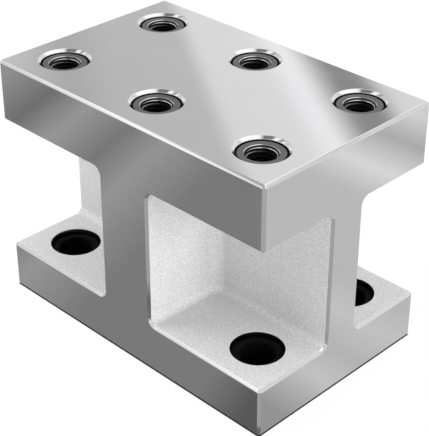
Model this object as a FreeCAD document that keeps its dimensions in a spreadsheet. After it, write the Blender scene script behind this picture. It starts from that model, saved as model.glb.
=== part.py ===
import FreeCAD, Part
import math
import os

import Sketcher

# Riser block for a modular fixture table: a machined aluminium casting with a top plate and a foot,
# joined by a plus-shaped column, with steel inserts pressed into both plates.
# Millimetres. +Z is up, X is the long side, and the origin is the middle of the standing face.

SIZES = [
    ("grid_pitch", 50.0, "bore to bore, both ways, on the grid of the fixture table"),
    ("edge_margin", 17.5, "from the axis of an outer bore to the side face"),
    ("block_height", 100.0, "standing face to top face"),
    ("top_plate_thickness", 25.0, "top face to the ceiling of the pockets"),
    ("foot_thickness", 20.0, "standing face to the floor of the pockets"),
    ("cross_rib_thickness", 25.0, "rib across the block, wide enough for the middle bores"),
    ("long_rib_thickness", 16.0, "rib along the block"),
    ("rib_corner_radius", 5.0, "upright corner where the two ribs meet"),
    ("pocket_edge_radius", 3.0, "edge of each pocket's floor and ceiling"),
    ("edge_chamfer", 1.0, "on every outer edge"),
    ("insert_bore_diameter", 18.0, "bore in the top plate and the insert pressed into it"),
    ("insert_bore_chamfer", 1.0, "mouth of that bore"),
    ("insert_sink", 1.3, "top face down to the insert"),
    ("insert_length", 18.0, "one and a half times the thread's diameter"),
    ("thread_core_diameter", 10.2, "M12 coarse thread, drilled core"),
    ("foot_hole_diameter", 20.0, "hole through the foot and the bushing pressed into it"),
    ("bushing_sink", 2.0, "pocket floor down to the bushing"),
    ("bushing_stand_off", 0.5, "standing face up to the bushing, so that it never carries the block"),
    ("bushing_bore_diameter", 13.5, "clearance for an M12 bolt"),
]

# Everything below is worked out from the sizes above, by formulas on the same sheet.
FORMULAS = [
    ("half_length", "grid_pitch + edge_margin"),
    ("half_width", "grid_pitch / 2 + edge_margin"),
    ("pocket_height", "block_height - top_plate_thickness - foot_thickness"),
    ("ceiling_level", "block_height - top_plate_thickness"),
    ("insert_bore_depth", "insert_sink + insert_length"),
    ("bushing_length", "foot_thickness - bushing_sink - bushing_stand_off"),
]

# The grid of bores, in the order of X and of Y. The foot has holes under the outer columns alone.
COLUMNS = ["left", "middle", "right"]
ROWS = ["front", "back"]
FOOT_COLUMNS = [COLUMNS[0], COLUMNS[-1]]

NEAR = 1e-4


def make_sheet(doc):
    sheet = doc.addObject("Spreadsheet::Sheet", "sizes")
    for row, (name, value, note) in enumerate(SIZES, start=1):
        sheet.set(f"A{row}", name)
        sheet.set(f"B{row}", str(value))
        sheet.setAlias(f"B{row}", name)
        sheet.set(f"C{row}", note)
    for row, (name, formula) in enumerate(FORMULAS, start=len(SIZES) + 2):
        sheet.set(f"A{row}", name)
        sheet.set(f"B{row}", f"={formula}")
        sheet.setAlias(f"B{row}", name)
    doc.recompute()
    return sheet


def origin_feature(body, role):
    return next(feature for feature in body.Origin.OriginFeatures if feature.Role == role)


def add_sketch(body, name, plane, level=None):
    """A sketch on one of the body's own origin planes, lifted to a level along the plane's normal."""
    sketch = body.newObject("Sketcher::SketchObject", name)
    sketch.AttachmentSupport = [(origin_feature(body, plane), "")]
    sketch.MapMode = "FlatFace"
    if level:
        sketch.setExpression(".AttachmentOffset.Base.z", level)
    return sketch


def bind(sketch, kind, line, end, rough, formula):
    number = sketch.addConstraint(Sketcher.Constraint(kind, line, end, rough))
    sketch.setExpression(f"Constraints[{number}]", formula)


def add_outline(sketch, corners):
    """Closed straight lines through corners, each a pair of formulas on the sheet."""
    first = sketch.GeometryCount
    count = len(corners)
    turn = 2 * math.pi / count
    rough = [FreeCAD.Vector(10 * math.cos(turn * step), 10 * math.sin(turn * step)) for step in range(count)]
    for step in range(count):
        sketch.addGeometry(Part.LineSegment(rough[step], rough[(step + 1) % count]), False)
    for step in range(count):
        following = first + (step + 1) % count
        sketch.addConstraint(Sketcher.Constraint("Coincident", first + step, 2, following, 1))
    for step, (across, along) in enumerate(corners):
        bind(sketch, "DistanceX", first + step, 1, rough[step].x, across)
        bind(sketch, "DistanceY", first + step, 1, rough[step].y, along)


def turned_profile(body, name, corners, feature_kind):
    """A profile of radius and height, turned a full circle about the upright axis."""
    sketch = add_sketch(body, f"{name}_profile", "XZ_Plane")
    add_outline(sketch, corners)
    turned = body.newObject(feature_kind, name)
    turned.Profile = sketch
    turned.ReferenceAxis = (sketch, ["V_Axis"])
    turned.Angle = 360.0
    return sketch, turned


def pad_block(body):
    sketch = add_sketch(body, "block_outline", "XY_Plane")
    add_outline(sketch, [
        ("-sizes.half_length", "-sizes.half_width"),
        ("sizes.half_length", "-sizes.half_width"),
        ("sizes.half_length", "sizes.half_width"),
        ("-sizes.half_length", "sizes.half_width"),
    ])
    block = body.newObject("PartDesign::Pad", "block")
    block.Profile = sketch
    block.setExpression("Length", "sizes.block_height")


def cut_corner_pockets(body):
    """Four pockets, each open to two sides, leave the plus-shaped column between the plates."""
    sketch = add_sketch(body, "pocket_outlines", "XY_Plane", "sizes.foot_thickness")
    for side in ("-", ""):
        for end in ("-", ""):
            near_rib = f"{side}sizes.cross_rib_thickness / 2"
            outside = f"{side}sizes.half_length * 2"
            along_rib = f"{end}sizes.long_rib_thickness / 2"
            beyond = f"{end}sizes.half_width * 2"
            add_outline(sketch, [(near_rib, along_rib), (outside, along_rib), (outside, beyond), (near_rib, beyond)])
    pockets = body.newObject("PartDesign::Pocket", "corner_pockets")
    pockets.Profile = sketch
    pockets.setExpression("Length", "sizes.pocket_height")
    pockets.Reversed = True


def edges_where(feature, wanted):
    """Names of a feature's edges whose middle point passes a test."""
    names = []
    for number, edge in enumerate(feature.Shape.Edges, start=1):
        if wanted(edge.valueAt((edge.FirstParameter + edge.LastParameter) / 2), edge):
            names.append(f"Edge{number}")
    return names


def dress_edges(body, kind, name, size, formula, wanted):
    base = body.Tip
    dressed = body.newObject(kind, name)
    dressed.Base = (base, edges_where(base, wanted))
    dressed.setExpression(size, formula)
    return dressed


def round_pockets(body, sheet):
    """The ribs meet in a wide radius, and a smaller one runs round each floor and ceiling."""

    def is_inside(point):
        return abs(point.x) < sheet.half_length - NEAR and abs(point.y) < sheet.half_width - NEAR

    def is_upright_corner(point, edge):
        levels = [vertex.Z for vertex in edge.Vertexes]
        return is_inside(point) and max(levels) - min(levels) > sheet.pocket_height / 2

    def is_floor_or_ceiling(point, edge):
        at_level = min(abs(point.z - sheet.foot_thickness), abs(point.z - sheet.ceiling_level)) < NEAR
        return is_inside(point) and at_level

    dress_edges(body, "PartDesign::Fillet", "rib_corners", "Radius", "sizes.rib_corner_radius", is_upright_corner)
    body.Document.recompute()
    dress_edges(body, "PartDesign::Fillet", "pocket_edges", "Radius", "sizes.pocket_edge_radius", is_floor_or_ceiling)
    body.Document.recompute()


def chamfer_outer_edges(body, sheet):
    """One chamfer on every edge of the side faces: both plates, the ribs' ends and the pocket mouths."""

    def is_on_side(point, edge):
        return (abs(abs(point.x) - sheet.half_length) < NEAR
                or abs(abs(point.y) - sheet.half_width) < NEAR)

    dress_edges(body, "PartDesign::Chamfer", "outer_edges", "Size", "sizes.edge_chamfer", is_on_side)
    body.Document.recompute()


def repeat_on_grid(body, name, feature, columns):
    """Two rows across the block, with the columns spread over two pitches along it."""
    pattern = body.newObject("PartDesign::LinearPattern", name)
    pattern.Originals = [feature]
    pattern.Direction = (origin_feature(body, "X_Axis"), [""])
    pattern.setExpression("Length", "sizes.grid_pitch * 2")
    pattern.Occurrences = columns
    pattern.Direction2 = (origin_feature(body, "Y_Axis"), [""])
    pattern.setExpression("Length2", "sizes.grid_pitch")
    pattern.Occurrences2 = len(ROWS)
    body.Tip = pattern
    body.Document.recompute()


def cut_insert_bores(body):
    """Flat-bottomed bores with a chamfered mouth, three columns by two rows."""
    radius = "sizes.insert_bore_diameter / 2"
    sketch, bore = turned_profile(body, "insert_bore", [
        ("0", "sizes.block_height"),
        ("0", "sizes.block_height - sizes.insert_bore_depth"),
        (radius, "sizes.block_height - sizes.insert_bore_depth"),
        (radius, "sizes.block_height - sizes.insert_bore_chamfer"),
        (f"{radius} + sizes.insert_bore_chamfer", "sizes.block_height"),
    ], "PartDesign::Groove")
    sketch.setExpression(".AttachmentOffset.Base.x", "-sizes.grid_pitch")
    sketch.setExpression(".AttachmentOffset.Base.z", "sizes.grid_pitch / 2")
    body.Document.recompute()
    repeat_on_grid(body, "insert_bores", bore, len(COLUMNS))


def cut_foot_holes(body):
    """Plain holes through the foot, under the outer columns of the top plate."""
    sketch = add_sketch(body, "foot_hole_outline", "XY_Plane")
    sketch.addGeometry(Part.Circle(FreeCAD.Vector(-10, -10, 0), FreeCAD.Vector(0, 0, 1), 5), False)
    bind(sketch, "DistanceX", 0, 3, -10, "-sizes.grid_pitch")
    bind(sketch, "DistanceY", 0, 3, -10, "-sizes.grid_pitch / 2")
    number = sketch.addConstraint(Sketcher.Constraint("Diameter", 0, 10))
    sketch.setExpression(f"Constraints[{number}]", "sizes.foot_hole_diameter")
    hole = body.newObject("PartDesign::Pocket", "foot_hole")
    hole.Profile = sketch
    hole.setExpression("Length", "sizes.foot_thickness")
    hole.Reversed = True
    body.Document.recompute()
    repeat_on_grid(body, "foot_holes", hole, len(FOOT_COLUMNS))


def disc(diameter):
    return math.pi * diameter ** 2 / 4


def cut_and_compare(body, cut, least):
    """Makes a cut, and stops if it took away less than the space that it should clear."""
    body.Document.recompute()
    before = body.Shape.Volume
    cut(body)
    body.Document.recompute()
    if before - body.Shape.Volume < least * (1 - NEAR):
        raise RuntimeError(f"{cut.__name__} took {before - body.Shape.Volume:.0f} mm3, not {least:.0f}")


def make_riser_body(doc, sheet):
    body = doc.addObject("PartDesign::Body", "riser_body")
    pad_block(body)
    pocket_area = (4 * (sheet.half_length - sheet.cross_rib_thickness / 2)
                   * (sheet.half_width - sheet.long_rib_thickness / 2))
    cut_and_compare(body, cut_corner_pockets, pocket_area * sheet.pocket_height)
    round_pockets(body, sheet)
    chamfer_outer_edges(body, sheet)
    bore_volume = disc(sheet.insert_bore_diameter) * sheet.insert_bore_depth
    cut_and_compare(body, cut_insert_bores, bore_volume * len(COLUMNS) * len(ROWS))
    hole_volume = disc(sheet.foot_hole_diameter) * sheet.foot_thickness
    cut_and_compare(body, cut_foot_holes, hole_volume * len(FOOT_COLUMNS) * len(ROWS))
    return body


def pitches_from_middle(names, name):
    return names.index(name) - (len(names) - 1) / 2


def place_on_grid(body, column, row, level):
    body.setExpression(".Placement.Base.x", f"sizes.grid_pitch * {pitches_from_middle(COLUMNS, column)}")
    body.setExpression(".Placement.Base.y", f"sizes.grid_pitch * {pitches_from_middle(ROWS, row)}")
    body.setExpression(".Placement.Base.z", level)


def turn_ring(doc, name, bore_diameter, outside_diameter, length):
    """A ring that stands on its own lower face, from three names on the sheet."""
    body = doc.addObject("PartDesign::Body", name)
    inner = f"sizes.{bore_diameter} / 2"
    outer = f"sizes.{outside_diameter} / 2"
    top = f"sizes.{length}"
    corners = [(inner, "0"), (outer, "0"), (outer, top), (inner, top)]
    turned_profile(body, f"{name}_turning", corners, "PartDesign::Revolution")
    return body


def make_thread_insert(doc, column, row):
    """Pressed down to the bottom of its bore; its hole is the thread's drilled core."""
    body = turn_ring(doc, f"thread_insert_{row}_{column}",
                     "thread_core_diameter", "insert_bore_diameter", "insert_length")
    place_on_grid(body, column, row, "sizes.block_height - sizes.insert_bore_depth")
    return body


def make_foot_bushing(doc, column, row):
    """Pressed into the foot, below its floor and clear of the table, with a bolt's clearance hole."""
    body = turn_ring(doc, f"foot_bushing_{row}_{column}",
                     "bushing_bore_diameter", "foot_hole_diameter", "bushing_length")
    place_on_grid(body, column, row, "sizes.bushing_stand_off")
    return body


def check(doc, parts):
    doc.recompute()
    for item in doc.Objects:
        if "Invalid" in item.State or "Error" in item.State:
            raise RuntimeError(f"{item.Name} could not be made: {item.State}")
    for part in parts:
        if part.Shape.isNull() or not part.Shape.isValid() or len(part.Shape.Solids) != 1:
            raise RuntimeError(f"{part.Label} is not one valid solid")


def main():
    os.makedirs("parts", exist_ok=True)
    doc = FreeCAD.newDocument("riser_block")
    sheet = make_sheet(doc)
    parts = [make_riser_body(doc, sheet)]
    for row in ROWS:
        parts += [make_thread_insert(doc, column, row) for column in COLUMNS]
        parts += [make_foot_bushing(doc, column, row) for column in FOOT_COLUMNS]
    check(doc, parts)
    for part in parts:
        box = part.Shape.BoundBox
        part.Shape.exportStep(f"parts/{part.Label}.step")
        print(f"{part.Label}: {box.XLength:.2f} x {box.YLength:.2f} x {box.ZLength:.2f} mm,"
              f" {part.Shape.Volume / 1000:.2f} cm3, {len(part.Shape.Faces)} faces")


main()
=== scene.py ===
# %% [markdown]
# A riser block lifts a vice or a fixture off a machine's table. It is one aluminium casting: a thick top
# plate and a foot, held apart by a plus-shaped column. Its outside is ground flat, and its four pockets
# keep the rough skin of the casting. Black steel inserts carry the threads in the top plate, and black
# steel bushings line the bolt holes of the foot.
#
# The solids come from CAD, in metres, and already stand in the right place. This lesson adds what CAD
# leaves out: real screw threads, softened edges, the two finishes of the aluminium, and a small studio.

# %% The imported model
import math

import bmesh
import bpy
from mathutils import Matrix, Vector


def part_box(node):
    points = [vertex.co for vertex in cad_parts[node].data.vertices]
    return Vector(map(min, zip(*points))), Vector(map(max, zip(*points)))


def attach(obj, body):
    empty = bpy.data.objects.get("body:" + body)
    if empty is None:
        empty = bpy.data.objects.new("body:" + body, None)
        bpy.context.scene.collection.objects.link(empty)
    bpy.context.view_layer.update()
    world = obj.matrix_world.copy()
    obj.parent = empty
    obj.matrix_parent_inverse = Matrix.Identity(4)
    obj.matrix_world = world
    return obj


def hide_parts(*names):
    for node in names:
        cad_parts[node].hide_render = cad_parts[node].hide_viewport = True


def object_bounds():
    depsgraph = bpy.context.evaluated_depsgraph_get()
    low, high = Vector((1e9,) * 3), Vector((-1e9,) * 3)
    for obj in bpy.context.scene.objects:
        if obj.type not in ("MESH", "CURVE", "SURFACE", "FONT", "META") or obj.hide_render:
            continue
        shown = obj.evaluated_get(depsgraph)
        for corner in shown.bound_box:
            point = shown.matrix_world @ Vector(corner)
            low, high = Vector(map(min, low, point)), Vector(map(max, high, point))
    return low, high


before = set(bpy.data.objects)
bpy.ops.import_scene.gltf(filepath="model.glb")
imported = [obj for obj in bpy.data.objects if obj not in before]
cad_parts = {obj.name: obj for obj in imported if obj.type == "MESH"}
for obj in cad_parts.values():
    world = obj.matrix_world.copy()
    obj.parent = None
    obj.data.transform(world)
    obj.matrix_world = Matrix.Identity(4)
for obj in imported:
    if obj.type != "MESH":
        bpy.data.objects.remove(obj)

cad_low, cad_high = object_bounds()
print("CAD box in mm:", [round(1000 * side, 2) for side in cad_high - cad_low])

# %% [markdown]
# Some sizes can be read from the CAD nodes' boxes, so they follow the model when it changes. The levels of
# the pockets and the chamfer don't show in a box, so they are named here, and so is the grid's pitch.

# %% Sizes of the block
MM = 0.001
HALF_LENGTH = cad_high.x
HALF_WIDTH = cad_high.y
BLOCK_HEIGHT = cad_high.z
POCKET_FLOOR = 20 * MM
POCKET_CEILING = 75 * MM
EDGE_CHAMFER = 1 * MM
GRID_PITCH = 50 * MM

INSERTS = sorted(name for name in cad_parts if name.startswith("thread_insert"))
BUSHINGS = sorted(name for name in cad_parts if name.startswith("foot_bushing"))
print(len(INSERTS), "inserts and", len(BUSHINGS), "bushings")

# %% [markdown]
# The camera comes first, because everything else is judged through it. It looks down on the corner
# between the front and the right side. Its place was found by fitting a camera to the edges and circles
# of the photograph. The small shift stands for a photograph that was cropped off its centre.

# %% Camera
CAMERA_AZIMUTH = math.radians(44.942)
CAMERA_ELEVATION = math.radians(30.051)
CAMERA_DISTANCE = 496.231 * MM
CAMERA_TARGET = Vector((-4.475, 6.066, 49.051)) * MM
CAMERA_LENS = 106.63
SENSOR_WIDTH = 36
CAMERA_SHIFT = (0.0088, -0.0599)
NEAREST_SEEN = 0.01


def make_camera():
    away = Vector((
        math.sin(CAMERA_AZIMUTH) * math.cos(CAMERA_ELEVATION),
        -math.cos(CAMERA_AZIMUTH) * math.cos(CAMERA_ELEVATION),
        math.sin(CAMERA_ELEVATION),
    ))
    lens = bpy.data.cameras.new("camera")
    lens.lens = CAMERA_LENS
    lens.sensor_width = SENSOR_WIDTH
    lens.shift_x, lens.shift_y = CAMERA_SHIFT
    lens.clip_start = NEAREST_SEEN
    camera = bpy.data.objects.new("camera", lens)
    camera.location = CAMERA_TARGET + away * CAMERA_DISTANCE
    camera.rotation_euler = (-away).to_track_quat("-Z", "Y").to_euler()
    bpy.context.scene.collection.objects.link(camera)
    bpy.context.scene.camera = camera
    return camera


camera = make_camera()
print("camera at", [round(value, 4) for value in camera.location])

# %% [markdown]
# Editing by operators works on whatever is selected, so three small helpers keep that under control. One
# deselects every object, and one leaves a single piece selected and active. The last picks vertices, edges
# or faces of the mesh in edit mode by a test.

# %% Selecting
def deselect_everything():
    for thing in bpy.context.selected_objects:
        thing.select_set(False)


def make_active(piece):
    deselect_everything()
    piece.select_set(True)
    bpy.context.view_layer.objects.active = piece


def pick(piece, kind, wanted):
    """Selects the "verts", "edges" or "faces" that pass the test."""
    bpy.ops.mesh.select_all(action="DESELECT")
    bpy.ops.mesh.select_mode(type={"verts": "VERT", "edges": "EDGE", "faces": "FACE"}[kind])
    mesh = bmesh.from_edit_mesh(piece.data)
    for item in getattr(mesh, kind):
        if wanted(item):
            item.select_set(True)
    mesh.select_flush_mode()
    bmesh.update_edit_mesh(piece.data)


# %% [markdown]
# The inserts and the bushings are both turned on a lathe, so both start as the same blank: a cylinder
# whose two ends are inset to the size of the bore and bridged, which opens a hole right through. Bevels
# then cut the countersunk mouth and the outer rim. A profile spun round the axis would do as well, but
# this way each edge can be picked and given its own chamfer.

# %% A turned blank
FACETS = 96
FACES_UP = 0.9
SAME_LEVEL = 0.01 * MM
SAME_RADIUS = 0.1 * MM


def radius_from(axis, point):
    return math.hypot(point.x - axis.x, point.y - axis.y)


def turn_blank(name, node, bore_radius, mouth, rim):
    low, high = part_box(node)
    axis = (low + high) / 2
    radius = (high.x - low.x) / 2
    deselect_everything()
    bpy.ops.mesh.primitive_cylinder_add(vertices=FACETS, radius=radius, depth=high.z - low.z, location=axis)
    piece = bpy.context.object
    piece.name = name
    bpy.ops.object.transform_apply(location=True, rotation=True, scale=True)
    bpy.ops.object.mode_set(mode="EDIT")
    pick(piece, "faces", lambda face: abs(face.normal.z) > FACES_UP)
    bpy.ops.mesh.inset(thickness=radius - bore_radius)
    bpy.ops.mesh.bridge_edge_loops()
    for edge_radius, size in ((bore_radius, mouth), (radius, rim)):
        pick(piece, "edges", lambda edge: all(
            abs(corner.co.z - high.z) < SAME_LEVEL
            and abs(radius_from(axis, corner.co) - edge_radius) < SAME_RADIUS
            for corner in edge.verts))
        bpy.ops.mesh.bevel(offset=size, segments=1, affect="EDGES")
    bpy.ops.mesh.select_all(action="SELECT")
    bpy.ops.mesh.normals_make_consistent(inside=False)
    bpy.ops.object.mode_set(mode="OBJECT")
    return piece


# %% [markdown]
# The thread is the detail that makes an insert look real. Its groove is a helix with a 60 degree V
# section, flat at the bottom. The easiest way to get it right, with its run-out at the mouth, is the
# machinist's: make the tap's ridge as a solid coil, and cut it out of the blank. A small square is
# tapered to the V, and a Screw modifier winds it up the axis, one pitch for each turn.

# %% The coil that cuts the thread
THREAD_PITCH = 1.75 * MM
THREAD_FLAT = THREAD_PITCH / 8
THREAD_FLANK = math.radians(30)
THREAD_CORE_RADIUS = 5.1 * MM
THREAD_ROOT_RADIUS = 6.0 * MM
THREAD_OVERLAP = 0.2 * MM
THREAD_START = math.radians(112)
STEPS_PER_TURN = 64
SPARE_TURNS = 3
TURNS_OVER_TOP = 1
WELD_WITHIN = 0.001 * MM


def make_thread_coil(axis, low_level, high_level):
    inner = THREAD_CORE_RADIUS - THREAD_OVERLAP
    inner_width = THREAD_FLAT + 2 * math.tan(THREAD_FLANK) * (THREAD_ROOT_RADIUS - inner)
    deselect_everything()
    bpy.ops.mesh.primitive_plane_add(size=1, rotation=(math.pi / 2, 0, 0))
    coil = bpy.context.object
    bpy.ops.object.transform_apply(location=True, rotation=True, scale=True)
    bpy.ops.object.mode_set(mode="EDIT")
    bpy.ops.mesh.select_all(action="SELECT")
    bpy.ops.transform.resize(value=(THREAD_ROOT_RADIUS - inner, 1, inner_width))
    bpy.ops.transform.translate(value=((THREAD_ROOT_RADIUS + inner) / 2, 0, 0))
    pick(coil, "verts", lambda vert: vert.co.x > (THREAD_ROOT_RADIUS + inner) / 2)
    bpy.ops.transform.resize(value=(1, 1, THREAD_FLAT / inner_width))
    pick(coil, "faces", lambda face: True)
    bpy.ops.mesh.delete(type="ONLY_FACE")
    bpy.ops.object.mode_set(mode="OBJECT")

    turns = math.ceil((high_level - low_level) / THREAD_PITCH) + SPARE_TURNS
    screw = coil.modifiers.new("winding", "SCREW")
    screw.axis = "Z"
    screw.angle = 2 * math.pi
    screw.screw_offset = THREAD_PITCH
    screw.iterations = turns
    screw.steps = screw.render_steps = STEPS_PER_TURN
    bpy.ops.object.modifier_apply(modifier=screw.name)

    bpy.ops.object.mode_set(mode="EDIT")
    bpy.ops.mesh.select_all(action="SELECT")
    bpy.ops.mesh.remove_doubles(threshold=WELD_WITHIN)
    pick(coil, "edges", lambda edge: len(edge.link_faces) == 1)
    bpy.ops.mesh.fill_holes(sides=4)
    bpy.ops.mesh.select_all(action="SELECT")
    bpy.ops.mesh.normals_make_consistent(inside=False)
    bpy.ops.object.mode_set(mode="OBJECT")

    coil.rotation_euler.z = THREAD_START
    coil.location = (axis.x, axis.y, high_level - (turns - TURNS_OVER_TOP) * THREAD_PITCH)
    bpy.ops.object.transform_apply(location=True, rotation=True, scale=True)
    return coil


# %% [markdown]
# The cut is a Boolean modifier with the exact solver, which copes with a coil that runs through the bevelled
# mouth, and the coil is removed after it. Round faces are shaded smooth by the angle between facets. A last
# helper counts the edges that don't join two faces, which tells whether a mesh is still closed.

# %% Cutting, smoothing and counting
def subtract(piece, cutter):
    make_active(piece)
    cut = piece.modifiers.new("cut", "BOOLEAN")
    cut.operation = "DIFFERENCE"
    cut.solver = "EXACT"
    cut.object = cutter
    bpy.ops.object.modifier_apply(modifier=cut.name)
    bpy.data.objects.remove(cutter)


def smooth_round_faces(piece, angle):
    make_active(piece)
    bpy.ops.object.shade_smooth_by_angle(angle=angle)


def count_open_edges(piece):
    mesh = bmesh.new()
    mesh.from_mesh(piece.data)
    loose = sum(1 for edge in mesh.edges if len(edge.link_faces) != 2)
    mesh.free()
    return loose


# %% [markdown]
# One insert is modelled, and the other five are copies moved to their own nodes. Every copy has its own
# mesh, so it can be exported by itself. The real ones look the same too: each thread starts at the same
# place round its mouth, as it does when the inserts are pressed in the same way round.

# %% Thread inserts
INSERT_MOUTH = 1.0 * MM
INSERT_RIM = 0.8 * MM
TURNED_SMOOTHING = math.radians(25)


def make_thread_insert(node):
    low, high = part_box(node)
    insert = turn_blank(f"{node}_threaded", node, THREAD_CORE_RADIUS, INSERT_MOUTH, INSERT_RIM)
    subtract(insert, make_thread_coil((low + high) / 2, low.z, high.z))
    smooth_round_faces(insert, TURNED_SMOOTHING)
    print(f"{insert.name}: {len(insert.data.polygons)} faces, {count_open_edges(insert)} open edges")
    return insert


def copy_to_nodes(first, nodes, ending):
    """The first piece stands for the first node; its copies stand for the others."""
    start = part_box(nodes[0])[0]
    made = [first]
    for node in nodes[1:]:
        twin = first.copy()
        twin.data = first.data.copy()
        twin.name = f"{node}_{ending}"
        twin.data.transform(Matrix.Translation(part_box(node)[0] - start))
        bpy.context.scene.collection.objects.link(twin)
        made.append(twin)
    return made


inserts = copy_to_nodes(make_thread_insert(INSERTS[0]), INSERTS, "threaded")

# %% [markdown]
# The bushings are plain turned rings. Only their rim and the mouth of their bore show, deep in the holes
# of the foot, where each catches a thin arc of light.

# %% Foot bushings
BUSHING_BORE_RADIUS = 6.75 * MM
BUSHING_MOUTH = 0.5 * MM
BUSHING_RIM = 1.0 * MM


def make_bushing(node):
    bushing = turn_blank(f"{node}_turned", node, BUSHING_BORE_RADIUS, BUSHING_MOUTH, BUSHING_RIM)
    smooth_round_faces(bushing, TURNED_SMOOTHING)
    print(f"{bushing.name}: {len(bushing.data.polygons)} faces, {count_open_edges(bushing)} open edges")
    return bushing


bushings = copy_to_nodes(make_bushing(BUSHINGS[0]), BUSHINGS, "turned")

# %% [markdown]
# No machined edge is perfectly sharp: a ground block has a hair of a radius along each corner, and that
# is what catches the light. The casting's CAD mesh can't be changed, so a copy of it is merged, its flat
# faces are joined up again, and a very small bevel runs along every edge that is sharper than a fillet's
# facets. Weighted normals then keep the large faces flat in the light, right up to the bevel, so a ground
# face mirrors its surroundings without streaks.

# %% Casting with softened edges
EDGE_SOFTENING = 0.12 * MM
SOFTENED_FROM = math.radians(28)
FLAT_WITHIN = math.radians(0.2)
CASTING_SMOOTHING = math.radians(40)
LEVELLING_WEIGHT = 100


def make_casting(node):
    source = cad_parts[node]
    casting = source.copy()
    casting.data = source.data.copy()
    for key in list(casting.keys()):
        if key.startswith("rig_"):
            del casting[key]
    casting.parent = None
    casting.name = "riser_casting"
    bpy.context.scene.collection.objects.link(casting)
    make_active(casting)
    bpy.ops.object.mode_set(mode="EDIT")
    bpy.ops.mesh.select_all(action="SELECT")
    bpy.ops.mesh.remove_doubles(threshold=WELD_WITHIN)
    bpy.ops.mesh.dissolve_limited(angle_limit=FLAT_WITHIN)
    bpy.ops.object.mode_set(mode="OBJECT")
    softening = casting.modifiers.new("softening", "BEVEL")
    softening.width = EDGE_SOFTENING
    softening.segments = 2
    softening.limit_method = "ANGLE"
    softening.angle_limit = SOFTENED_FROM
    softening.use_clamp_overlap = True
    bpy.ops.object.modifier_apply(modifier=softening.name)
    smooth_round_faces(casting, CASTING_SMOOTHING)
    levelling = casting.modifiers.new("levelling", "WEIGHTED_NORMAL")
    levelling.mode = "FACE_AREA"
    levelling.weight = LEVELLING_WEIGHT
    levelling.keep_sharp = True
    bpy.ops.object.modifier_apply(modifier=levelling.name)
    print(f"{casting.name}: {len(casting.data.polygons)} faces, {count_open_edges(casting)} open edges")
    return casting


casting = make_casting("riser_body")

# %% [markdown]
# Every new piece rides on the block's only body, names the finish it takes, and stands for its CAD node,
# which is then hidden but still collides in the simulation.

# %% Tying the pieces to the frame
def tie(piece, node):
    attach(piece, "root")
    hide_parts(node)


tie(casting, "riser_body")
for piece, node in zip(inserts, INSERTS):
    tie(piece, node)
for piece, node in zip(bushings, BUSHINGS):
    tie(piece, node)
print(1 + len(inserts) + len(bushings), "pieces tied to the frame")

# %% [markdown]
# A material is arithmetic on values that change over the surface. Adding each Math node by hand hides
# that, so one small class wraps a socket and lets Python's own operators add the nodes. Any other kind
# of node comes from its one method.

# %% Shader arithmetic
class Wire:
    """One output socket of a node tree."""

    def __init__(self, tree, socket=None):
        self.tree = tree
        self.socket = socket

    def node(self, kind, settings=None, sockets=None, out=0):
        """Adds a node: its settings first, then a value or a wire for each socket that is named."""
        made = self.tree.nodes.new(kind)
        for name, value in (settings or {}).items():
            if name == "stops":
                set_stops(made.color_ramp, value)
            else:
                setattr(made, name, value)
        for name, value in (sockets or {}).items():
            if isinstance(value, Wire):
                self.tree.links.new(value.socket, made.inputs[name])
            else:
                made.inputs[name].default_value = value
        return Wire(self.tree, made.outputs[out])

    def output(self, name):
        """Another output of the same node."""
        return Wire(self.tree, self.socket.node.outputs[name])

    def math(self, operation, first, second=0.0, clamp=False):
        settings = {"operation": operation, "use_clamp": clamp}
        return self.node("ShaderNodeMath", settings, {0: first, 1: second})

    def __add__(self, other):
        return self.math("ADD", self, other)

    def __sub__(self, other):
        return self.math("SUBTRACT", self, other)

    def __rsub__(self, other):
        return self.math("SUBTRACT", other, self)

    def __mul__(self, other):
        return self.math("MULTIPLY", self, other)

    def __truediv__(self, other):
        return self.math("DIVIDE", self, other)

    def __abs__(self):
        return self.math("ABSOLUTE", self)

    __radd__ = __add__

    def least(self, other):
        return self.math("MINIMUM", self, other)

    def most(self, other):
        return self.math("MAXIMUM", self, other)

    def clipped(self):
        return self.math("MULTIPLY", self, 1.0, clamp=True)


def set_stops(ramp, stops):
    """Stops are pairs of a position and a grey level."""
    while len(ramp.elements) < len(stops):
        ramp.elements.new(1.0)
    for element, (position, level) in zip(ramp.elements, stops):
        element.position = position
        element.color = (level, level, level, 1)


# %% [markdown]
# A few helpers serve all the materials. One starts a material and gives its Principled shader. Another
# turns a distance into a mask: 1 where the distance is positive, 0 where it is negative, with a narrow soft
# step. Since holes and pieces repeat every grid pitch, a fold brings the whole row of them onto one, and
# that gives the distance from the nearest axis. The others blend colours, raise a bump, mix two shaders,
# and put a finished material on a piece.

# %% Material helpers
def start_material(name):
    material = bpy.data.materials.new(name)
    material.use_nodes = True
    return material, Wire(material.node_tree), material.node_tree.nodes["Principled BSDF"]


def mask(distance, softness):
    return (distance / softness + 0.5).clipped()


def blend(wire, factor, first, second):
    return wire.node("ShaderNodeMix", {"data_type": "RGBA"}, {0: factor, 6: first, 7: second}, out=2)


def reach_from_axes(wire, x, y, axis):
    across = wire.math("PINGPONG", x - axis.x, GRID_PITCH / 2)
    along = wire.math("PINGPONG", y - axis.y, GRID_PITCH / 2)
    return wire.math("SQRT", across * across + along * along)


def feed(wire, shader, name, value):
    wire.tree.links.new(value.socket, shader.inputs[name])


def feed_bump(wire, shader, height, strength, distance):
    sockets = {"Strength": strength, "Distance": distance, "Height": height}
    feed(wire, shader, "Normal", wire.node("ShaderNodeBump", sockets=sockets, out="Normal"))


def feed_surface(wire, factor, first, second):
    """The material shows the first shader where the factor is 0, and the second where it is 1."""
    mixed = wire.node("ShaderNodeMixShader", sockets={0: factor, 1: first, 2: second})
    feed(wire, wire.tree.nodes["Material Output"], "Surface", mixed)


def put_on(piece, material):
    piece.data.materials.clear()
    piece.data.materials.append(material)


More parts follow.
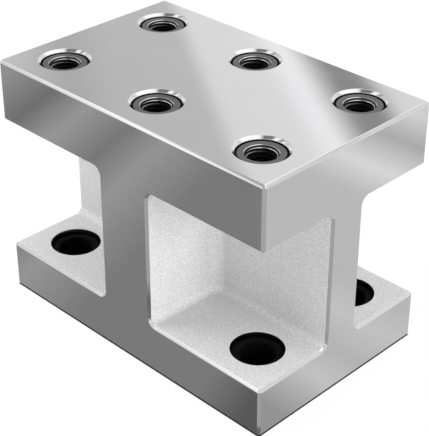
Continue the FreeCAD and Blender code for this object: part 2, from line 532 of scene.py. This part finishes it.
# %% [markdown]
# The casting has two finishes on one piece. Its outer planes and chamfers are ground: bright metal, smooth
# enough to mirror soft bands of light, with very fine lines from the wheel. Inside the pockets the blasted
# skin of the casting is left: paler, dull and grainy. A mask splits them by place: a point is in a pocket
# if it lies deeper than the chamfer from every side face, and between the foot and the top plate. The
# lowest chamfer is painted nearly black, a painted shade for the contact shadow where the block stands.
# The insides of the blind bores are dull, as a drill leaves them, and are darkened with painted shade.

# %% Aluminium, ground and as cast
GROUND_COLOUR = (0.74, 0.74, 0.75, 1)
GROUND_DARK = (0.66, 0.66, 0.67, 1)
CAST_COLOUR = (0.71, 0.71, 0.71, 1)
CAST_DARK = (0.47, 0.47, 0.47, 1)
# Painted shade: a near-black painted along the lowest chamfer for the contact shadow where the block stands.
CONTACT_SHADE_COLOUR = (0.02, 0.02, 0.02, 1)
# Painted shade: a dark colour painted inside the blind bores.
BORE_SHADE_COLOUR = (0.06, 0.06, 0.06, 1)

SKIN_OVERLAP = 0.3 * MM
SKIN_SOFTNESS = 0.15 * MM
CONTACT_SHADE_HEIGHT = 0.95 * MM
CONTACT_SHADE_SOFTNESS = 0.2 * MM
BORE_MARGIN = 0.1 * MM

LINES_LENGTHWISE = 60
LINES_ACROSS = 2200
CLOUD_SCALE = 45.0
GRAIN_SCALE = 2100.0
PIT_SCALE = 1300.0

GROUND_ROUGHNESS = 0.035
CAST_ROUGHNESS = 0.62
BORE_ROUGHNESS = 0.5
CAST_DULLNESS = 0.75
CONTACT_SHADE_DULLNESS = 0.6
ALUMINIUM_BUMP = 0.55
ALUMINIUM_RELIEF = 0.12 * MM


def make_aluminium():
    material, wire, shader = start_material("cast_aluminium")
    place = wire.node("ShaderNodeTexCoord", out="Object")
    x = wire.node("ShaderNodeSeparateXYZ", sockets={0: place}, out="X")
    y, z = x.output("Y"), x.output("Z")
    normal = wire.node("ShaderNodeNewGeometry", out="Normal")
    facing = wire.node("ShaderNodeSeparateXYZ", sockets={0: normal}, out="X")

    depth = (HALF_LENGTH - abs(x)).least(HALF_WIDTH - abs(y))
    between = (z - (POCKET_FLOOR - SKIN_OVERLAP)).least((POCKET_CEILING + SKIN_OVERLAP) - z)
    cast = mask((depth - EDGE_CHAMFER).least(between), SKIN_SOFTNESS)

    fine_x, fine_y, fine_z = x * LINES_ACROSS, y * LINES_ACROSS, z * LINES_ACROSS
    along_x = wire.node("ShaderNodeCombineXYZ", sockets={0: x * LINES_LENGTHWISE, 1: fine_y, 2: fine_z})
    along_y = wire.node("ShaderNodeCombineXYZ", sockets={0: fine_x, 1: y * LINES_LENGTHWISE, 2: fine_z})
    lines_x = wire.node("ShaderNodeTexNoise", sockets={"Vector": along_x, "Scale": 1.0, "Detail": 3.0})
    lines_y = wire.node("ShaderNodeTexNoise", sockets={"Vector": along_y, "Scale": 1.0, "Detail": 3.0})
    turned = mask(abs(facing) - 0.8, 0.1)
    lines = lines_x * (1 - turned) + lines_y * turned
    cloud = wire.node("ShaderNodeTexNoise", sockets={"Vector": place, "Scale": CLOUD_SCALE, "Detail": 4.0})

    grain = wire.node("ShaderNodeTexNoise", sockets={"Vector": place, "Scale": GRAIN_SCALE, "Detail": 3.0})
    pits = wire.node("ShaderNodeTexVoronoi", sockets={"Vector": place, "Scale": PIT_SCALE}, out="Distance")

    ground_colour = blend(wire, (lines * 0.5 + cloud * 0.5).clipped(), GROUND_DARK, GROUND_COLOUR)
    cast_colour = blend(wire, ((grain - 0.5) * 2.5 + pits * 0.5 + 0.3).clipped(), CAST_DARK, CAST_COLOUR)
    colour = blend(wire, cast, ground_colour, cast_colour)

    # Painted shade inside the blind bores: their colour is darkened; they are also made rougher, as a drill
    # leaves them.
    insert_low, insert_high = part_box(INSERTS[0])
    reach = reach_from_axes(wire, x, y, (insert_low + insert_high) / 2)
    deep = (z - (POCKET_CEILING + EDGE_CHAMFER)).least((insert_high.z - EDGE_CHAMFER) - z)
    bore_radius = (insert_high.x - insert_low.x) / 2 + BORE_MARGIN
    dull_shaded_bore = mask((bore_radius - reach).least(deep), BORE_MARGIN)
    colour = blend(wire, dull_shaded_bore, colour, BORE_SHADE_COLOUR)
    # Painted shade: the lowest chamfer and a hair above it go nearly black and less metallic, for the
    # contact shadow where the block stands.
    contact_shade = mask(CONTACT_SHADE_HEIGHT - z, CONTACT_SHADE_SOFTNESS)
    feed(wire, shader, "Base Color", blend(wire, contact_shade, colour, CONTACT_SHADE_COLOUR))

    ground_roughness = GROUND_ROUGHNESS + lines * 0.02 + cloud * 0.02
    cast_roughness = CAST_ROUGHNESS + grain * 0.15
    roughness = ground_roughness * (1 - cast) + cast * cast_roughness + dull_shaded_bore * BORE_ROUGHNESS
    feed(wire, shader, "Roughness", roughness)
    feed(wire, shader, "Metallic", (1 - cast * CAST_DULLNESS) * (1 - contact_shade * CONTACT_SHADE_DULLNESS))

    height = lines * (1 - cast) * 0.02 + (grain + pits * 0.6) * cast
    feed_bump(wire, shader, height, ALUMINIUM_BUMP, ALUMINIUM_RELIEF)
    return material


put_on(casting, make_aluminium())
print("aluminium on", casting.name)

# %% [markdown]
# Black oxide is a thin dark layer on turned steel. It is nearly black, a little uneven, and the lathe's
# feed leaves rings round the axis. Those rings are a wave of the distance from the nearest axis. The top of
# an insert was faced after blackening, so it is bare grey steel. The screws that go in and out also rub the
# oxide off the edge of its mouth and off the first crest of its thread, and leave two thin lines that gleam.

# %% Black steel
INSERT_OXIDE = (0.005, 0.005, 0.005, 1)
INSERT_RUBBED = (0.014, 0.014, 0.014, 1)
INSERT_BARE = (0.155, 0.155, 0.157, 1)
BUSHING_OXIDE = (0.002, 0.002, 0.002, 1)
BUSHING_RUBBED = (0.007, 0.007, 0.007, 1)
GLEAM_COLOUR = (0.62, 0.62, 0.62, 1)
RING_SHADE = 0.75

CREST_REACH = 5.3 * MM
MOUTH_REACH = 6.0 * MM
WEAR_WIDTH = 0.3 * MM
WEAR_DEPTH = 2.0 * MM
WEAR_FADE = 0.6 * MM
WEAR_SOFTNESS = 0.1 * MM
MOUTH_DEPTH = 0.5 * MM
FACED_DEPTH = 0.05 * MM
FACED_SOFTNESS = 0.03 * MM
RING_SPACING = 0.22 * MM
STAIN_SCALE = 420.0

OXIDE_ROUGHNESS = 0.45
GLEAM_ROUGHNESS = 0.14
BARE_ROUGHNESS = 0.3
OXIDE_METAL = 0.04
OXIDE_SHINE = 0.02
STEEL_BUMP = 0.25
STEEL_RELIEF = 0.03 * MM


def make_black_steel(name, node, oxide, rubbed, bare=None):
    """Colours: the oxide, the oxide where it is rubbed, and the bare steel of a threaded piece."""
    low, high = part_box(node)
    axis = (low + high) / 2
    material, wire, shader = start_material(name)
    place = wire.node("ShaderNodeTexCoord", out="Object")
    x = wire.node("ShaderNodeSeparateXYZ", sockets={0: place}, out="X")
    y, z = x.output("Y"), x.output("Z")
    reach = reach_from_axes(wire, x, y, axis)
    rings = wire.math("SINE", reach * (2 * math.pi / RING_SPACING)) * 0.5 + 0.5
    stain = wire.node("ShaderNodeTexNoise", sockets={"Vector": place, "Scale": STAIN_SCALE, "Detail": 5.0})
    patchy = (stain * 0.9 + rings * 0.1).clipped()
    colour = blend(wire, patchy, oxide, rubbed)
    roughness = OXIDE_ROUGHNESS + stain * 0.15
    metal = stain * OXIDE_METAL
    if bare:
        crest = mask(CREST_REACH - reach, WEAR_SOFTNESS) * mask(z - (high.z - WEAR_DEPTH), WEAR_FADE)
        mouth_line = mask(WEAR_WIDTH / 2 - abs(reach - MOUTH_REACH), WEAR_SOFTNESS)
        mouth = mouth_line * mask(z - (high.z - MOUTH_DEPTH), WEAR_SOFTNESS)
        worn = crest.most(mouth)
        colour = blend(wire, worn, colour, GLEAM_COLOUR)
        roughness = roughness * (1 - worn) + worn * (GLEAM_ROUGHNESS + stain * 0.1)
        top = mask(z - (high.z - FACED_DEPTH), FACED_SOFTNESS)
        turned = blend(wire, patchy, tuple(RING_SHADE * part for part in bare), bare)
        colour = blend(wire, top, colour, turned)
        roughness = roughness * (1 - top) + top * (BARE_ROUGHNESS + stain * 0.15)
        metal = metal.most(worn).most(top)
    feed(wire, shader, "Base Color", colour)
    feed(wire, shader, "Roughness", roughness)
    feed(wire, shader, "Metallic", metal)
    shader.inputs["Specular IOR Level"].default_value = OXIDE_SHINE
    feed_bump(wire, shader, rings * 0.4 + stain, STEEL_BUMP, STEEL_RELIEF)
    return material


insert_steel = make_black_steel("black_insert_steel", INSERTS[0], INSERT_OXIDE, INSERT_RUBBED, INSERT_BARE)
bushing_steel = make_black_steel("black_bushing_steel", BUSHINGS[0], BUSHING_OXIDE, BUSHING_RUBBED)
for piece in inserts:
    put_on(piece, insert_steel)
for piece in bushings:
    put_on(piece, bushing_steel)
print("black steel on", len(inserts) + len(bushings), "pieces")

# %% [markdown]
# The studio starts with a large pale floor. The camera, and anything that mirrors the floor, sees it
# nearly white, and enough of its plain surface is left for the block's shadow to show. Right under the
# block the floor is painted dark, a painted contact shadow, and a thin line of that shows below the lowest
# chamfer.

# %% Floor
FLOOR_SIDE = 8
FLOOR_DROP = 0.05 * MM
FLOOR_WHITENESS = 0.95
FLOOR_ROUGHNESS = 0.9
FLOOR_COLOUR = (0.85, 0.85, 0.85, 1)
SHADE_COLOUR = (0.06, 0.06, 0.06, 1)
SHADE_INSET = 0.15 * MM
SHADE_SOFTNESS = 0.1 * MM


def make_floor():
    deselect_everything()
    bpy.ops.mesh.primitive_plane_add(size=FLOOR_SIDE, location=(0, 0, -FLOOR_DROP))
    floor = bpy.context.object
    floor.name = "floor"
    material, wire, shader = start_material("pale_floor")
    place = wire.node("ShaderNodeTexCoord", out="Object")
    x = wire.node("ShaderNodeSeparateXYZ", sockets={0: place}, out="X")
    # Painted shadow: inside the block's outline the floor's colour goes dark, and its white glow is left out
    # there.
    inside = (HALF_LENGTH - abs(x)).least(HALF_WIDTH - abs(x.output("Y")))
    shaded = mask(inside - SHADE_INSET, SHADE_SOFTNESS)
    feed(wire, shader, "Base Color", blend(wire, shaded, FLOOR_COLOUR, SHADE_COLOUR))
    shader.inputs["Roughness"].default_value = FLOOR_ROUGHNESS
    shader.inputs["Specular IOR Level"].default_value = 0.0
    camera_ray = wire.node("ShaderNodeLightPath", out="Is Camera Ray")
    seen = camera_ray.most(camera_ray.output("Is Glossy Ray")).most(camera_ray.output("Is Transmission Ray"))
    white = wire.node("ShaderNodeEmission", sockets={"Color": (1, 1, 1, 1), "Strength": 1.0})
    feed_surface(wire, seen * (1 - shaded) * FLOOR_WHITENESS, Wire(wire.tree, shader.outputs[0]), white)
    put_on(floor, material)
    return floor


floor = make_floor()
print(floor.name, "is", FLOOR_SIDE, "m wide")

# %% [markdown]
# Ground metal shows what stands round it, so a photographer shapes its sides with cards. A striped grey card
# lies beside each side of the block, darker before the front and lighter before the right, and a slanted
# stripe gives a face its slanted sheen. An almost even one lies beyond the corner between those two, where
# the upright chamfer faces. All are seen in reflections alone, so the floor stays white, and nothing else
# gets darker. A hard edge of a card would show in the metal, so each card fades in over a wedge that opens
# away from a corner of the block, and fades out far away.

# %% Grey cards
CARD_REACH = 0.45
CARD_GAP = 0.1 * MM
CARD_END = 0.40
CARD_END_SOFTNESS = 0.10
WEDGE_SOFTNESS = 2 * MM
SHEEN_SLOPE = 0.55
SHEEN_OPENING = 0.15
SHEEN_ACROSS = (-0.94, 0.34)
DIAGONAL = (0.707, -0.707)
CORNER_GAP = 6 * MM


def fan(beyond, along, slope, opening):
    """Rises to 1 over a wedge that opens away from a corner.

    Beyond is the way out from the card's inner line, and along is the way past the corner.
    """
    away = along.most(0)
    return ((beyond - away * (slope + opening)) / (away * opening + WEDGE_SOFTNESS) + 1).clipped()


def make_card(name, layer, low, high, across, stripes, fade):
    """A flat card that glows a little. A stripe is a place in mm along the line across, and its level."""
    deselect_everything()
    middle = ((low[0] + high[0]) / 2, (low[1] + high[1]) / 2, layer * CARD_GAP)
    bpy.ops.mesh.primitive_plane_add(size=1, location=middle)
    card = bpy.context.object
    card.name = name
    card.scale = (high[0] - low[0], high[1] - low[1], 1)
    bpy.ops.object.transform_apply(location=True, rotation=True, scale=True)
    for ray in ("camera", "diffuse", "transmission", "volume_scatter", "shadow"):
        setattr(card, f"visible_{ray}", False)
    material, wire = start_material(name)[:2]
    place = wire.node("ShaderNodeTexCoord", out="Object")
    x = wire.node("ShaderNodeSeparateXYZ", sockets={0: place}, out="X")
    y = x.output("Y")
    first, last = stripes[0][0], stripes[-1][0]
    line = (x * across[0] + y * across[1]) / MM
    stops = [((place_mm - first) / (last - first), level) for place_mm, level in stripes]
    glow = wire.node("ShaderNodeValToRGB", {"stops": stops}, {0: (line - first) / (last - first)})
    light = wire.node("ShaderNodeEmission", sockets={"Color": glow, "Strength": 1.0})
    clear = wire.node("ShaderNodeBsdfTransparent")
    near_enough = mask(CARD_END - wire.math("SQRT", x * x + y * y), CARD_END_SOFTNESS)
    feed_surface(wire, fade(x, y) * near_enough, clear, light)
    put_on(card, material)
    print(name, "has", len(stripes), "stripes")


make_card("back_card", 1, (-CARD_REACH, HALF_WIDTH), (CARD_REACH, CARD_REACH), SHEEN_ACROSS,
          [(-170, 0.62), (-90, 0.50), (-30, 0.66), (30, 0.52), (95, 0.68), (165, 0.50)],
          lambda x, y: fan(y - HALF_WIDTH, -HALF_LENGTH - x, 0, 0.2))
make_card("left_card", 2, (-CARD_REACH, -CARD_REACH), (-HALF_LENGTH, CARD_REACH), (0, 1),
          [(-200, 0.30), (-110, 0.44), (-50, 0.32), (10, 0.42), (60, 0.34), (130, 0.46), (200, 0.36)],
          lambda x, y: fan(-HALF_LENGTH - x, y - HALF_WIDTH, SHEEN_SLOPE, SHEEN_OPENING))
make_card("front_card", 3, (-CARD_REACH, -CARD_REACH), (CARD_REACH, -HALF_WIDTH), SHEEN_ACROSS,
          [(-82, 0.22), (-76, 0.13), (-68, 0.14), (-48, 0.27), (15, 0.27), (50, 0.42), (74, 0.26),
           (104, 0.43), (130, 0.22), (165, 0.39)],
          lambda x, y: fan(-HALF_WIDTH - y, -HALF_LENGTH - x, SHEEN_SLOPE, SHEEN_OPENING))
make_card("right_card", 4, (HALF_LENGTH, -HALF_WIDTH), (CARD_REACH, CARD_REACH), (0, 1),
          [(-28, 0.41), (-3, 0.75), (14, 0.63), (35, 0.75), (52, 0.67), (112, 0.68), (137, 0.95),
           (168, 0.56), (195, 0.88)],
          lambda x, y: fan(x - HALF_LENGTH, y - HALF_WIDTH, SHEEN_SLOPE, SHEEN_OPENING))
corner_line = HALF_LENGTH + HALF_WIDTH + CORNER_GAP
make_card("corner_card", 5, (-CARD_REACH, -CARD_REACH), (CARD_REACH, CARD_REACH), DIAGONAL,
          [(85, 0.46), (250, 0.53)],
          lambda x, y: fan(x - y - corner_line, abs(x + y - (HALF_LENGTH - HALF_WIDTH)), 0, 0.3))

# %% [markdown]
# The sky over the block is made of long soft lights. Low ones behind it draw the slanted bands on the top
# face. Over the block hangs a bright softbox, with a dark gap on the camera's side, and that is what gives
# each bore's chamfer its bright and dark segments. The lights run straight, so a direction is first carried
# on to a flat ceiling. A ramp then gives the level along one line across that ceiling, and a second ramp
# takes over where a direction points steeply up.

# %% Sky of soft lights
STRIP_ACROSS = Vector((0.574, 0.819))
STRIP_SPAN = 2.0
LOW_LIGHTS = [(-2.0, 1.20), (-1.30, 0.90), (-0.70, 1.15), (0.00, 0.89), (0.12, 0.65), (0.20, 0.77),
              (0.345, 0.78), (0.375, 1.11), (0.48, 1.12), (0.535, 1.44), (0.57, 0.76), (0.592, 0.38),
              (0.642, 0.40), (0.675, 1.10), (0.80, 1.12), (1.20, 0.90), (2.0, 1.20)]
HIGH_LIGHTS = [(-2.0, 1.30), (-1.27, 1.65), (-1.12, 0.55), (-1.02, 0.55), (-0.90, 1.65), (-0.76, 1.45),
               (-0.64, 0.34), (-0.22, 0.30), (0.00, 1.45), (0.40, 1.70), (1.15, 1.65), (1.45, 1.00),
               (2.0, 1.20)]
STEEP_FROM = 0.55
STEEP_SOFTNESS = 0.08
LOWEST_RISE = 0.02
SKY_STRENGTH = 0.85


def make_lights(wire, place, lights):
    """A light is a place along the line across the ceiling, and the level there."""
    stops = [((at + STRIP_SPAN) / (2 * STRIP_SPAN), level) for at, level in lights]
    return wire.node("ShaderNodeValToRGB", {"stops": stops}, {0: place})


def make_sky():
    world = bpy.data.worlds.new("studio")
    bpy.context.scene.world = world
    world.use_nodes = True
    wire = Wire(world.node_tree)
    direction = wire.node("ShaderNodeTexCoord", out="Generated")
    x = wire.node("ShaderNodeSeparateXYZ", sockets={0: direction}, out="X")
    y, z = x.output("Y"), x.output("Z")
    line = (x * STRIP_ACROSS.x + y * STRIP_ACROSS.y) / z.most(LOWEST_RISE)
    place = line / (2 * STRIP_SPAN) + 0.5
    low = make_lights(wire, place, LOW_LIGHTS)
    high = make_lights(wire, place, HIGH_LIGHTS)
    level = blend(wire, mask(z - STEEP_FROM, STEEP_SOFTNESS), low, high)
    background = world.node_tree.nodes["Background"]
    wire.tree.links.new(level.socket, background.inputs["Color"])
    background.inputs["Strength"].default_value = SKY_STRENGTH


make_sky()
print("sky with", len(LOW_LIGHTS), "low and", len(HIGH_LIGHTS), "high stops")

# %% [markdown]
# A soft lamp on the right lights the open pocket from the side. One on the left, which is larger and stands
# higher, does the same for the pocket there and for its floor.

# %% Lamps
LAMPS_AIM = Vector((0, 0, 0.05))


def make_lamp(name, place, size, power):
    lamp_data = bpy.data.lights.new(name, "AREA")
    lamp_data.size = size
    lamp_data.energy = power
    lamp = bpy.data.objects.new(name, lamp_data)
    lamp.location = place
    lamp.rotation_euler = (LAMPS_AIM - Vector(place)).to_track_quat("-Z", "Y").to_euler()
    lamp.visible_camera = False
    lamp.visible_glossy = False
    bpy.context.scene.collection.objects.link(lamp)
    print(f"{name}: {power} W")


make_lamp("key_lamp", (0.80, -0.02, 0.24), 0.4, 5.3)
make_lamp("fill_lamp", (-0.60, -0.30, 0.56), 0.5, 5.4)

# %% Finish
bpy.context.scene.view_settings.view_transform = "Standard"
